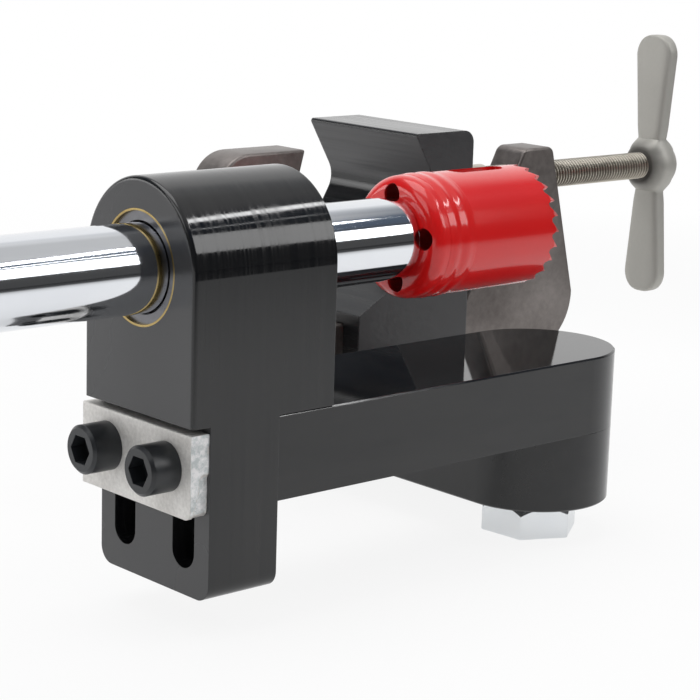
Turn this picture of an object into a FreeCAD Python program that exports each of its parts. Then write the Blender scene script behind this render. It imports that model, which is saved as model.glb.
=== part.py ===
"""Tube notcher: a swinging arm carries a hole saw spindle past a vee block and its clamp.

Row frame: Z up. The origin lies on the pivot axis, level with the top face of the upper arm.
X runs along the spindle towards the saw, Y along the lower arm towards the vee block.
All sizes are millimetres and degrees, and live in the spreadsheet "Sizes".
"""
import FreeCAD
import Part
import Sketcher
import math
import os

V = FreeCAD.Vector

# ---------------------------------------------------------------- driving sizes

SIZES = [
    # pivot arms
    ("arm_width", 50.8, "width of both arms and of the spindle housing"),
    ("upper_arm_thickness", 25.0, "thickness of the swinging arm"),
    ("lower_arm_thickness", 25.0, "thickness of the fixed arm"),
    ("upper_arm_reach", 131.2, "pivot axis to the end face that carries the housing"),
    ("lower_arm_reach", 160.0, "pivot axis to the end of the vise tang"),
    ("arm_edge_break", 0.5, "small chamfer round the arms"),
    ("tang_hole_diameter", 10.4, "bench bolt holes in the vise tang"),
    ("tang_hole_spacing", 25.4, "distance between the bench bolt holes"),
    ("tang_hole_inset", 19.0, "bench bolt holes to the end of the tang"),
    # pivot bolt
    ("pivot_diameter", 19.05, "shank of the pivot bolt"),
    ("pivot_play", 0.08, "radial running clearance of the pivot bolt"),
    ("pivot_grip", 17.0, "length of the pivot bolt inside the upper arm"),
    ("pivot_head_flats", 28.575, "across flats of the pivot bolt head"),
    ("pivot_head_height", 12.4, "height of the pivot bolt head"),
    ("pivot_head_turn", 34.0, "angle of the hexagon about the pivot axis"),
    ("pivot_head_bevel", 30.0, "slope of the cone that trims the hexagon, degrees"),
    # spindle
    ("spindle_height", 41.0, "spindle axis above the top of the upper arm"),
    ("spindle_diameter", 25.4, "ground and plated spindle bar"),
    ("spindle_length", 162.3, "full diameter length of the spindle"),
    ("spindle_edge_break", 1.0, "chamfer at the ends of the spindle"),
    ("shank_diameter", 12.7, "drive end that the drill chuck grips"),
    ("shank_length", 32.0, "length of the drive end"),
    ("arbor_diameter", 15.875, "threaded nose that carries the saw"),
    # spindle housing
    ("housing_length", 50.8, "length of the housing along the spindle"),
    ("housing_overhang", 20.0, "length of the housing that lies over the upper arm"),
    ("housing_foot", 50.8, "depth of the housing below the top of the upper arm"),
    ("housing_front_round", 1.4, "round of the front outline"),
    ("housing_foot_round", 5.0, "round of the two lower corners"),
    ("bore_relief_diameter", 27.4, "bore between the two bearings"),
    ("slot_width", 10.0, "width of the height slots"),
    ("slot_spacing", 27.6, "distance between the two height slots"),
    ("height_travel", 25.5, "how far the housing slides up the arm"),
    # needle bearings
    ("cup_diameter", 31.75, "outside of the drawn bearing cup"),
    ("cup_length", 19.05, "length of the drawn bearing cup"),
    ("cup_wall", 0.8, "wall of the drawn bearing cup"),
    ("lip_gap", 0.4, "radial gap between cup lip and spindle"),
    ("needle_count", 12, "needles in one bearing"),
    ("needle_play", 0.05, "radial clearance on each side of a needle"),
    ("needle_length", 14.0, "length of one needle"),
    ("cage_end_play", 0.3, "end play of the cage in its cup, and of a needle in its window"),
    ("ring_diameter", 33.0, "outside of the brass retaining ring"),
    ("ring_thickness", 1.0, "thickness of the brass retaining ring"),
    # clamp plate and its screws
    ("plate_length", 51.0, "sawn clamp bar, across the housing"),
    ("plate_height", 24.2, "height of the clamp bar"),
    ("plate_thickness", 6.35, "thickness of the clamp bar"),
    ("plate_drop", 1.9, "gap between the clamp bar and the step above it"),
    ("plate_shift", 0.5, "how far the sawn bar sits to the far side"),
    ("plate_corner_round", 3.0, "rounded lower corner of the clamp bar"),
    ("plate_hole_diameter", 10.0, "clearance holes in the clamp bar"),
    ("cap_screw_diameter", 9.525, "shank of the socket head cap screws"),
    ("cap_screw_length", 50.0, "length under the head"),
    ("cap_head_diameter", 14.3, "head of the socket head cap screws"),
    ("cap_socket_flats", 7.94, "across flats of the hexagon socket"),
    ("cap_socket_depth", 5.0, "depth of the hexagon socket"),
    ("tapped_gap", 0.04, "radial gap between a screw and its tapped hole"),
    ("blind_hole_spare", 1.0, "depth of a blind hole past the end of its screw"),
    ("screw_head_bevel", 0.0625, "bevel of a cap screw's head, as a share of its diameter"),
    ("screw_tip_bevel", 0.1, "bevel of a cap screw's tip, as a share of its diameter"),
    # hole saw
    ("saw_tip", 13.0, "pivot axis back to the saw's teeth"),
    ("saw_length", 53.2, "back of the base to the teeth"),
    ("saw_diameter", 38.0, "outside of the saw cup"),
    ("saw_wall", 1.6, "wall of the saw cup"),
    ("saw_base_diameter", 37.8, "outside of the backing plate"),
    ("saw_base_thickness", 10.0, "thickness of the backing plate"),
    ("saw_base_round", 4.2, "rounded shoulder of the backing plate"),
    ("saw_cup_overlap", 3.0, "how far the cup wall laps over the backing plate"),
    ("tooth_count", 24, "teeth round the saw"),
    ("tooth_depth", 2.8, "depth of the gullets"),
    ("tooth_land", 0.4, "flat left on the tip of a tooth"),
    ("gullet_back", 0.32, "back of a gullet's floor, as a share of the pitch"),
    ("gullet_floor", 0.12, "front of a gullet's floor, as a share of the pitch"),
    ("tooth_hook", 0.03, "lean of a tooth's face past its tip, as a share of the pitch"),
    ("drive_hole_diameter", 6.7, "drive pin holes in the backing plate"),
    ("drive_hole_count", 4, "drive pin holes"),
    ("drive_hole_circle", 26.5, "circle of the drive pin holes"),
    ("drive_hole_turn", 6.0, "turn of those holes from level, degrees"),
    ("saw_seam_round", 0.8, "round on each side of the seam between plate and cup"),
    ("chip_slot_length", 22.0, "slot that clears the slug"),
    ("chip_slot_width", 6.4, "width of that slot"),
    ("chip_slot_inset", 8.6, "slot to the teeth"),
    # vee block
    ("vee_near", 62.7, "pivot axis to the near face of the vee block"),
    ("vee_length", 56.1, "length of the vee block along the tube"),
    ("vee_back", 29.6, "pivot axis to the back face, which the clamp pad bears on"),
    ("vee_front", 22.2, "pivot axis to the low front face"),
    ("vee_top", 62.2, "top face above the upper arm's top"),
    ("vee_root", 13.95, "pivot axis to the root of the vee"),
    ("vee_lip", 1.4, "pivot axis to the upper lip of the vee"),
    ("vee_shoulder_low", 0.9, "sloping shoulder at the front face"),
    ("vee_shoulder_high", 11.5, "sloping shoulder at the lower lip"),
    ("vee_root_round", 9.0, "round in the root of the vee"),
    ("vee_lip_round", 1.0, "eased upper lip of the vee"),
    ("vee_top_round", 4.5, "round of the upper back corner"),
    ("vee_channel_top", 2.8, "channel roof below the upper arm's top"),
    ("vee_screw_diameter", 7.94, "screws up into the vee block"),
    ("vee_screw_head", 11.9, "heads of those screws"),
    ("vee_screw_head_height", 7.94, "height of those heads"),
    ("vee_screw_socket", 6.35, "hexagon socket of those screws"),
    ("vee_screw_length", 38.0, "length under those heads"),
    ("vee_screw_pitch", 25.4, "across the block between those screws"),
    ("vee_screw_row_gap", 16.0, "along the block between those screws"),
    ("vee_screw_inset", 9.0, "rear pair of screws to the far face"),
    # clamp frame
    ("frame_thickness", 15.0, "plate that the clamp frame is cut from"),
    ("frame_play", 0.3, "clearance of the frame in its channel"),
    ("frame_near", 71.0, "pivot axis to the near face of the frame"),
    ("frame_front", 78.0, "pivot axis to the frame's outer front edge"),
    ("frame_back", 94.3, "pivot axis to the frame's outer back edge"),
    ("hook_top", 58.5, "top of the hook"),
    ("hook_tip", 41.0, "pivot axis to the tip of the hook"),
    ("hook_lean", 15.5, "lean of the jaw face from upright, degrees"),
    ("post_top", 52.5, "top of the screw post"),
    ("post_inner", 65.3, "pivot axis to the inner top edge of the screw post"),
    ("post_width", 14.6, "width of the screw post at its top"),
    ("post_foot", 37.0, "pivot axis to the inner foot of the screw post"),
    ("frame_corner_round", 21.0, "round of the lower corners"),
    ("hook_corner_round", 13.0, "round of the hook's outer top corner"),
    ("throat_round", 8.0, "round of the throat under the hook"),
    # clamp screw and its wing handle
    ("clamp_screw_diameter", 10.3, "clamp screw over the thread"),
    ("clamp_screw_play", 0.08, "radial gap in the frame and in the pad"),
    ("handle_reach", 145.9, "pivot axis to the middle of the wing handle"),
    ("pad_diameter", 16.0, "swivel pad"),
    ("pad_thickness", 8.0, "thickness of the swivel pad"),
    ("pad_neck_diameter", 12.2, "neck of the swivel pad, seen beside the vee block"),
    ("pad_neck_end", 20.0, "foot of the swivel pad to the end of its neck"),
    ("pad_floor", 12.0, "foot of the swivel pad to the floor of its socket"),
    ("pad_edge", 1.5, "bevel of the swivel pad"),
    ("pad_end_gap", 0.3, "gap between the screw's nose and that floor"),
    ("screw_nose_diameter", 7.5, "turned-down nose of the clamp screw"),
    ("screw_nose_edge", 1.0, "bevel of that nose"),
    ("hub_diameter", 18.4, "ball hub of the wing handle"),
    ("wing_thickness", 5.0, "thickness of the wings"),
    ("wing_root_width", 10.8, "width of a wing at the hub's middle"),
    ("wing_tip_width", 21.3, "width that the taper would reach at the tip"),
    ("wing_span", 101.0, "tip to tip of the wing handle"),
    ("wing_edge_bevel", 0.8, "bevelled edges of the wings"),
    ("wing_tip_roundness", 0.89, "round of a tip, as a share of half its width"),
    ("wing_hub_round", 3.0, "hollow round where a wing runs into the hub"),
    ("hub_recess_diameter", 13.2, "counterbore in the hub round the screw"),
    ("hub_recess_floor", 4.5, "middle of the hub to the floor of that counterbore"),
]

doc = FreeCAD.newDocument("TubeNotcher")
sheet = doc.addObject("Spreadsheet::Sheet", "Sizes")


class Size:
    """A number that also remembers the spreadsheet expression that gives it."""

    def __init__(self, value, text):
        self.value = value
        self.text = text

    def join(self, other, sign, value, flip=False):
        other_text = other.text if isinstance(other, Size) else repr(other)
        pair = (other_text, self.text) if flip else (self.text, other_text)
        return Size(value, "(%s %s %s)" % (pair[0], sign, pair[1]))

    def __add__(self, other):
        return self.join(other, "+", self.value + number(other))

    def __radd__(self, other):
        return self.join(other, "+", number(other) + self.value, True)

    def __sub__(self, other):
        return self.join(other, "-", self.value - number(other))

    def __rsub__(self, other):
        return self.join(other, "-", number(other) - self.value, True)

    def __mul__(self, other):
        return self.join(other, "*", self.value * number(other))

    def __rmul__(self, other):
        return self.join(other, "*", number(other) * self.value, True)

    def __truediv__(self, other):
        return self.join(other, "/", self.value / number(other))

    def __neg__(self):
        return Size(-self.value, "(-1 * %s)" % self.text)


def number(size):
    return size.value if isinstance(size, Size) else size


def tangent(angle):
    """The tangent of an angle in degrees, as a size."""
    return Size(math.tan(math.radians(angle.value)), "tan(%s)" % angle.text)


def angle_text(angle):
    return angle.text if isinstance(angle, Size) else repr(angle)


def cosine(angle):
    return Size(math.cos(math.radians(number(angle))), "cos(%s)" % angle_text(angle))


def sine(angle):
    return Size(math.sin(math.radians(number(angle))), "sin(%s)" % angle_text(angle))


class Named:
    """Every driving size by its spreadsheet alias."""


S = Named()
for row, (alias, value, meaning) in enumerate(SIZES, start=1):
    sheet.set("A%d" % row, meaning)
    sheet.set("B%d" % row, str(value))
    sheet.setAlias("B%d" % row, alias)
    setattr(S, alias, Size(value, "Sizes.%s" % alias))
doc.recompute()

# places that several pieces share, in the row frame
HOUSING_BACK = -(S.upper_arm_reach - S.housing_overhang)
HOUSING_FRONT = HOUSING_BACK - S.housing_length
RECESS_FACE = HOUSING_FRONT + S.plate_thickness
ARM_END = -S.upper_arm_reach
LOWER_TOP = -S.upper_arm_thickness
LOWER_BOTTOM = LOWER_TOP - S.lower_arm_thickness
SCREW_HEIGHT = -(S.upper_arm_thickness / 2)
SAW_BACK = -(S.saw_tip + S.saw_length)
FRAME_MIDDLE = S.frame_near + S.frame_thickness / 2
CUP_INNER = S.cup_diameter / 2 - S.cup_wall
VEE_FAR = S.vee_near + S.vee_length
SPARE = 5.0  # how far a cutting shape runs past the face that it opens


# ---------------------------------------------------------------- modelling helpers

def bind(item, name, size):
    """Ties one property to a spreadsheet expression, or sets a plain number."""
    if isinstance(size, Size):
        item.setExpression(name, size.text)
    else:
        item.setExpression(name, repr(float(size)))


def place(item, x=0.0, y=0.0, z=0.0):
    for axis, size in (("x", x), ("y", y), ("z", z)):
        bind(item, "Placement.Base.%s" % axis, size)


def new_body(label):
    body = doc.addObject("PartDesign::Body", label)
    body.Label = label
    body.AllowCompound = True
    return body


def sketch_on(body, role, offset=0.0):
    """An empty sketch on one of the body's own origin planes, moved along its normal."""
    plane = [item for item in body.Origin.OriginFeatures if item.Role == role][0]
    sketch = body.newObject("Sketcher::SketchObject", body.Name + "Sketch")
    sketch.AttachmentSupport = [(plane, "")]
    sketch.MapMode = "FlatFace"
    bind(sketch, "AttachmentOffset.Base.z", offset)
    return sketch


def hold(sketch, kind, geometry, point, size):
    """Holds one coordinate of a point to a size."""
    index = sketch.addConstraint(Sketcher.Constraint(kind, -1, 1, geometry, point, number(size)))
    bind(sketch, "Constraints[%d]" % index, size)


def polygon(sketch, points):
    """A closed outline of straight lines through points whose coordinates are sizes."""
    first = sketch.GeometryCount
    count = len(points)
    ends = [V(number(x), number(y), 0) for x, y in points]
    for step in range(count):
        sketch.addGeometry(Part.LineSegment(ends[step], ends[(step + 1) % count]), False)
    for step in range(count):
        follower = first + (step + 1) % count
        sketch.addConstraint(Sketcher.Constraint("Coincident", first + step, 2, follower, 1))
    for step, (x, y) in enumerate(points):
        hold(sketch, "DistanceX", first + step, 1, x)
        hold(sketch, "DistanceY", first + step, 1, y)


def circle(sketch, x, y, radius):
    index = sketch.addGeometry(Part.Circle(V(number(x), number(y), 0), V(0, 0, 1), number(radius)), False)
    hold(sketch, "DistanceX", index, 3, x)
    hold(sketch, "DistanceY", index, 3, y)
    rule = sketch.addConstraint(Sketcher.Constraint("Radius", index, number(radius)))
    bind(sketch, "Constraints[%d]" % rule, radius)


def upright_slot(sketch, x, low, high, radius):
    """A round-ended slot along the sketch's y axis, between two end centres."""
    at, bottom, top, r = number(x), number(low), number(high), number(radius)
    upward = Part.Circle(V(at, top, 0), V(0, 0, 1), r)
    downward = Part.Circle(V(at, bottom, 0), V(0, 0, 1), r)
    cap = sketch.addGeometry(Part.ArcOfCircle(upward, 0, math.pi), False)
    left = sketch.addGeometry(Part.LineSegment(V(at - r, top, 0), V(at - r, bottom, 0)), False)
    foot = sketch.addGeometry(Part.ArcOfCircle(downward, math.pi, 2 * math.pi), False)
    right = sketch.addGeometry(Part.LineSegment(V(at + r, bottom, 0), V(at + r, top, 0)), False)
    chain = ((cap, 2, left, 1), (left, 2, foot, 1), (foot, 2, right, 1), (right, 2, cap, 1))
    for item in chain:
        sketch.addConstraint(Sketcher.Constraint("Tangent", *item))
    sketch.addConstraint(Sketcher.Constraint("Equal", cap, foot))
    for arc, height in ((cap, high), (foot, low)):
        hold(sketch, "DistanceX", arc, 3, x)
        hold(sketch, "DistanceY", arc, 3, height)
    rule = sketch.addConstraint(Sketcher.Constraint("Radius", cap, r))
    bind(sketch, "Constraints[%d]" % rule, radius)


def settled(body):
    """The body's volume once everything in it is computed."""
    doc.recompute()
    return body.Shape.Volume


def pad(body, sketch, length, toward_normal=True):
    feature = body.newObject("PartDesign::Pad", body.Name + "Pad")
    feature.Profile = sketch
    bind(feature, "Length", length)
    feature.Reversed = not toward_normal
    doc.recompute()
    return feature


def cut(body, feature, before):
    """Checks that a cutting feature really took material away."""
    after = settled(body)
    if not after < before - 1e-6:
        raise RuntimeError("%s cuts nothing from %s" % (feature.Name, body.Label))
    return feature


def pocket(body, sketch, depth, toward_normal=False):
    before = settled(body)
    feature = body.newObject("PartDesign::Pocket", body.Name + "Pocket")
    feature.Profile = sketch
    bind(feature, "Length", depth)
    feature.Reversed = toward_normal
    return cut(body, feature, before)


def revolve(body, sketch):
    """A full turn about the sketch's own horizontal axis."""
    feature = body.newObject("PartDesign::Revolution", body.Name + "Turned")
    feature.Profile = sketch
    feature.ReferenceAxis = (sketch, ["H_Axis"])
    feature.Angle = 360
    doc.recompute()
    return feature


def groove(body, sketch):
    before = settled(body)
    feature = body.newObject("PartDesign::Groove", body.Name + "Groove")
    feature.Profile = sketch
    feature.ReferenceAxis = (sketch, ["H_Axis"])
    feature.Angle = 360
    return cut(body, feature, before)


def near(one, two):
    return abs(one - number(two)) < 1e-3


def edges_where(base, test, label):
    names = []
    for index, edge in enumerate(base.Shape.Edges, start=1):
        if all(test(point) for point in edge.discretize(5)):
            names.append("Edge%d" % index)
    if not names:
        raise RuntimeError("no edge to finish on %s" % label)
    return names


def fillet(body, test, radius):
    base = body.Tip
    feature = body.newObject("PartDesign::Fillet", body.Name + "Fillet")
    feature.Base = (base, edges_where(base, test, body.Label))
    bind(feature, "Radius", radius)
    doc.recompute()
    return feature


def chamfer(body, test, size):
    base = body.Tip
    feature = body.newObject("PartDesign::Chamfer", body.Name + "Chamfer")
    feature.Base = (base, edges_where(base, test, body.Label))
    bind(feature, "Size", size)
    doc.recompute()
    return feature


def turned_body(label, profile, x=0.0, y=0.0, z=0.0):
    """A turned piece about its own X axis, from a half profile of (x, radius) points."""
    body = new_body(label)
    sketch = sketch_on(body, "XZ_Plane")
    polygon(sketch, profile)
    revolve(body, sketch)
    place(body, x, y, z)
    return body


def repeat_round(body, feature, count):
    """Repeats a feature evenly in a full turn about the body's own X axis."""
    pattern = body.newObject("PartDesign::PolarPattern", feature.Name + "Round")
    pattern.Originals = [feature]
    pattern.Axis = ([item for item in body.Origin.OriginFeatures if item.Role == "X_Axis"][0], [""])
    pattern.Angle = 360
    bind(pattern, "Occurrences", count)
    body.Tip = pattern
    doc.recompute()
    return pattern


def hexagon(sketch, flats, turn=0.0):
    """A hexagon round the sketch's origin, turned by an angle in degrees."""
    corner = flats / (2 * cosine(30))
    angles = [turn + 60 * step for step in range(6)]
    polygon(sketch, [(corner * cosine(angle), corner * sine(angle)) for angle in angles])


def group(label, members):
    """Identical separate pieces kept together under one name."""
    item = doc.addObject("Part::Compound", label)
    item.Label = label
    item.Links = members
    doc.recompute()
    return item


PARTS = []


def keep(item):
    PARTS.append(item)
    return item


# ---------------------------------------------------------------- pivot arms

def arm_blank(label, corner_low, corner_high, top, thickness):
    """A flat bar with one end rounded about the pivot axis."""
    body = new_body(label)
    bar = sketch_on(body, "XY_Plane", top)
    x_low, y_low = corner_low
    x_high, y_high = corner_high
    polygon(bar, [(x_low, y_low), (x_high, y_low), (x_high, y_high), (x_low, y_high)])
    pad(body, bar, thickness, toward_normal=False)
    nose = sketch_on(body, "XY_Plane", top)
    circle(nose, 0.0, 0.0, S.arm_width / 2)
    pad(body, nose, thickness, toward_normal=False)
    return body


def make_upper_arm():
    half = S.arm_width / 2
    body = arm_blank("upper_arm", (ARM_END, -half), (0.0, half), 0.0, S.upper_arm_thickness)
    chamfer(body, lambda p: near(p.z, 0.0) and not near(p.x, ARM_END), S.arm_edge_break)
    bore = sketch_on(body, "XY_Plane", LOWER_TOP)
    circle(bore, 0.0, 0.0, S.pivot_diameter / 2 + S.tapped_gap)
    pocket(body, bore, S.pivot_grip + S.blind_hole_spare, toward_normal=True)
    tapped = sketch_on(body, "YZ_Plane", ARM_END)
    for side in (-1, 1):
        circle(tapped, side * S.slot_spacing / 2, SCREW_HEIGHT, S.cap_screw_diameter / 2 + S.tapped_gap)
    reach = S.cap_screw_length - (ARM_END - HOUSING_FRONT)
    pocket(body, tapped, reach + S.blind_hole_spare, toward_normal=True)
    return keep(body)


def vee_screw_places():
    """The four screws that hold the vee block, as (x, y) in the row frame."""
    middle = (S.vee_back - S.vee_front) / 2
    rear = VEE_FAR - S.vee_screw_inset
    return [(middle + side * S.vee_screw_pitch / 2, rear - step * S.vee_screw_row_gap)
            for side in (-1, 1) for step in (0, 1)]


def make_lower_arm():
    half = S.arm_width / 2
    body = arm_blank("lower_arm", (-half, 0.0), (half, S.lower_arm_reach), LOWER_TOP, S.lower_arm_thickness)
    chamfer(body, lambda p: near(p.z, LOWER_BOTTOM), S.arm_edge_break)
    bore = sketch_on(body, "XY_Plane", LOWER_TOP)
    circle(bore, 0.0, 0.0, S.pivot_diameter / 2 + S.pivot_play)
    for side in (-1, 1):
        tang_row = S.lower_arm_reach - S.tang_hole_inset
        circle(bore, side * S.tang_hole_spacing / 2, tang_row, S.tang_hole_diameter / 2)
    for x, y in vee_screw_places():
        circle(bore, x, y, S.vee_screw_diameter / 2 + S.pivot_play)
    pocket(body, bore, S.lower_arm_thickness)
    seats = sketch_on(body, "XY_Plane", LOWER_BOTTOM)
    for x, y in vee_screw_places():
        circle(seats, x, y, S.vee_screw_head / 2 + S.frame_play)
    pocket(body, seats, S.vee_screw_head_height + S.frame_play, toward_normal=True)
    return keep(body)


def make_pivot_bolt():
    """Large hexagon head bolt, up through the lower arm and into the upper one."""
    body = new_body("pivot_bolt")
    head = sketch_on(body, "XY_Plane", LOWER_BOTTOM)
    hexagon(head, S.pivot_head_flats, S.pivot_head_turn)
    pad(body, head, S.pivot_head_height, toward_normal=False)
    shank = sketch_on(body, "XY_Plane", LOWER_BOTTOM)
    circle(shank, 0.0, 0.0, S.pivot_diameter / 2)
    pad(body, shank, S.lower_arm_thickness + S.pivot_grip)
    # both ends of the hexagon are turned down to a cone
    corner = S.pivot_head_flats / (2 * cosine(30))
    cone = S.pivot_head_flats / 2
    for face, way in ((LOWER_BOTTOM, -1), (LOWER_BOTTOM - S.pivot_head_height, 1)):
        trim = sketch_on(body, "XZ_Plane")
        outside = corner + SPARE
        steeper = face + way * (outside - cone) * tangent(S.pivot_head_bevel)
        polygon(trim, [(cone, face), (outside, face), (outside, steeper)])
        before = settled(body)
        feature = body.newObject("PartDesign::Groove", "pivot_bolt_cone")
        feature.Profile = trim
        feature.ReferenceAxis = (trim, ["V_Axis"])
        feature.Angle = 360
        cut(body, feature, before)
    return keep(body)


# ---------------------------------------------------------------- spindle housing

def make_spindle_housing():
    """Arched block that hooks over the end of the arm and carries both bearings."""
    half = S.arm_width / 2
    body = new_body("spindle_housing")
    side = sketch_on(body, "XZ_Plane", -half)
    polygon(side, [
        (RECESS_FACE, -S.housing_foot),
        (ARM_END, -S.housing_foot),
        (ARM_END, 0.0),
        (HOUSING_BACK, 0.0),
        (HOUSING_BACK, S.spindle_height),
        (HOUSING_FRONT, S.spindle_height),
        (HOUSING_FRONT, 0.0),
        (RECESS_FACE, 0.0),
    ])
    pad(body, side, S.arm_width)
    arch = sketch_on(body, "YZ_Plane", HOUSING_FRONT)
    circle(arch, 0.0, S.spindle_height, half)
    pad(body, arch, S.housing_length)
    fillet(body, lambda p: near(p.z, -S.housing_foot) and near(abs(p.y), half), S.housing_foot_round)
    fillet(body, lambda p: near(p.x, HOUSING_FRONT) and (p.z > number(S.spindle_height) - 1e-3
           or near(abs(p.y), half)), S.housing_front_round)
    ring_seat = S.ring_diameter / 2
    cup_seat = S.cup_diameter / 2
    relief = S.bore_relief_diameter / 2
    depth = S.ring_thickness + S.cup_length
    bore = sketch_on(body, "XZ_Plane")
    bind(bore, "AttachmentOffset.Base.y", S.spindle_height)
    polygon(bore, [
        (HOUSING_FRONT - SPARE, 0.0),
        (HOUSING_FRONT - SPARE, ring_seat),
        (HOUSING_FRONT + S.ring_thickness, ring_seat),
        (HOUSING_FRONT + S.ring_thickness, cup_seat),
        (HOUSING_FRONT + depth, cup_seat),
        (HOUSING_FRONT + depth, relief),
        (HOUSING_BACK - depth, relief),
        (HOUSING_BACK - depth, cup_seat),
        (HOUSING_BACK - S.ring_thickness, cup_seat),
        (HOUSING_BACK - S.ring_thickness, ring_seat),
        (HOUSING_BACK + SPARE, ring_seat),
        (HOUSING_BACK + SPARE, 0.0),
    ])
    groove(body, bore)
    slots = sketch_on(body, "YZ_Plane", ARM_END)
    for way in (-1, 1):
        upright_slot(slots, way * S.slot_spacing / 2, SCREW_HEIGHT - S.height_travel,
                     SCREW_HEIGHT, S.slot_width / 2)
    pocket(body, slots, ARM_END - RECESS_FACE)
    return keep(body)


def make_clamp_plate():
    """Sawn steel bar that spreads the load of the two cap screws over the slots."""
    body = new_body("clamp_plate")
    low = -(S.plate_drop + S.plate_height)
    near_end = S.plate_shift - S.plate_length / 2
    far_end = S.plate_shift + S.plate_length / 2
    face = sketch_on(body, "YZ_Plane", HOUSING_FRONT)
    polygon(face, [(near_end, low), (far_end, low), (far_end, -S.plate_drop), (near_end, -S.plate_drop)])
    pad(body, face, S.plate_thickness)
    fillet(body, lambda p: near(p.z, low) and near(p.y, near_end), S.plate_corner_round)
    holes = sketch_on(body, "YZ_Plane", RECESS_FACE)
    for side in (-1, 1):
        circle(holes, side * S.slot_spacing / 2, SCREW_HEIGHT, S.plate_hole_diameter / 2)
    pocket(body, holes, S.plate_thickness)
    return keep(body)


def cap_screw(label, x, y, z, shank, length, head, head_height, flats, depth, upright):
    """Socket head cap screw, head towards -X, or downwards if it stands upright."""
    body = new_body(label)
    sketch = sketch_on(body, "XZ_Plane")
    edge = head * S.screw_head_bevel
    tip = shank * S.screw_tip_bevel
    polygon(sketch, [
        (-head_height, 0.0),
        (-head_height, head / 2 - edge),
        (edge - head_height, head / 2),
        (0.0, head / 2),
        (0.0, shank / 2),
        (length - tip, shank / 2),
        (length, shank / 2 - tip),
        (length, 0.0),
    ])
    revolve(body, sketch)
    socket = sketch_on(body, "YZ_Plane", -head_height)
    hexagon(socket, flats)
    pocket(body, socket, depth, toward_normal=True)
    if upright:
        body.Placement.Rotation = FreeCAD.Rotation(V(0, 1, 0), -90)
    place(body, x, y, z)
    return body


def make_housing_screws():
    members = [cap_screw("housing_screw_%d" % (index + 1), HOUSING_FRONT, side * S.slot_spacing / 2,
                         SCREW_HEIGHT, S.cap_screw_diameter, S.cap_screw_length,
                         S.cap_head_diameter, S.cap_screw_diameter,
                         S.cap_socket_flats, S.cap_socket_depth, False)
               for index, side in enumerate((-1, 1))]
    return keep(group("housing_screws", members))


# ---------------------------------------------------------------- needle bearings

def make_bearing(side, inner_face, outward):
    """One drawn cup needle bearing: cup, cage and needles, and the ring that keeps it in."""
    axis = {"z": S.spindle_height}
    face = inner_face - outward * S.ring_thickness
    # the ring sits in the mouth of the bore, flush with the housing
    ring = turned_body("%s_bearing_ring" % side, [
        (0.0, S.cup_diameter / 2),
        (0.0, S.ring_diameter / 2),
        (S.ring_thickness, S.ring_diameter / 2),
        (S.ring_thickness, S.cup_diameter / 2),
    ], x=face if outward > 0 else inner_face, **axis)
    keep(ring)
    start = face - S.cup_length if outward > 0 else face
    lip = S.spindle_diameter / 2 + S.lip_gap
    outer = S.cup_diameter / 2
    cup = turned_body("%s_bearing_cup" % side, [
        (0.0, lip),
        (0.0, outer),
        (S.cup_length, outer),
        (S.cup_length, lip),
        (S.cup_length - S.cup_wall, lip),
        (S.cup_length - S.cup_wall, CUP_INNER),
        (S.cup_wall, CUP_INNER),
        (S.cup_wall, lip),
    ], x=start, **axis)
    keep(cup)
    # needles stand evenly round the spindle, each clear of spindle and cup
    needle = (CUP_INNER - S.spindle_diameter / 2) / 2 - S.needle_play
    circle_radius = (CUP_INNER + S.spindle_diameter / 2) / 2
    middle = start + S.cup_length / 2
    needles = []
    for index in range(number(S.needle_count)):
        angle = Size(360.0 * index / S.needle_count.value, "(360 * %d / Sizes.needle_count)" % index)
        item = doc.addObject("Part::Cylinder", "Needle")
        bind(item, "Radius", needle)
        bind(item, "Height", S.needle_length)
        item.Placement.Rotation = FreeCAD.Rotation(V(0, 1, 0), 90)
        place(item, middle - S.needle_length / 2, circle_radius * cosine(angle),
              S.spindle_height + circle_radius * sine(angle))
        needles.append(item)
    keep(group("%s_bearing_needles" % side, needles))
    # the cage is a thin ring with one window for each needle
    inner = S.spindle_diameter / 2 + S.lip_gap
    outside = CUP_INNER - S.lip_gap
    half = S.cup_length / 2 - S.cup_wall - S.cage_end_play
    cage = turned_body("%s_bearing_cage" % side, [
        (-half, inner),
        (-half, outside),
        (half, outside),
        (half, inner),
    ], x=middle, **axis)
    long_way = S.needle_length / 2 + S.cage_end_play
    wide_way = needle + S.needle_play
    window = sketch_on(cage, "XY_Plane")
    polygon(window, [(-long_way, wide_way), (-long_way, -wide_way),
                     (long_way, -wide_way), (long_way, wide_way)])
    repeat_round(cage, pocket(cage, window, outside + SPARE, toward_normal=True), S.needle_count)
    keep(cage)


# ---------------------------------------------------------------- spindle and saw

def make_spindle():
    """Plated bar with a turned-down drive end and a threaded nose for the saw."""
    edge = S.spindle_edge_break
    bar = S.spindle_diameter / 2
    shank = S.shank_diameter / 2
    back = -S.spindle_length
    body = turned_body("spindle_shaft", [
        (back - S.shank_length, 0.0),
        (back - S.shank_length, shank - edge),
        (back - S.shank_length + edge, shank),
        (back, shank),
        (back, bar - edge),
        (back + edge, bar),
        (-edge, bar),
        (0.0, bar - edge),
        (0.0, S.arbor_diameter / 2),
        (S.saw_base_thickness, S.arbor_diameter / 2),
        (S.saw_base_thickness, 0.0),
    ], x=SAW_BACK, z=S.spindle_height)
    return keep(body)


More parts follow.
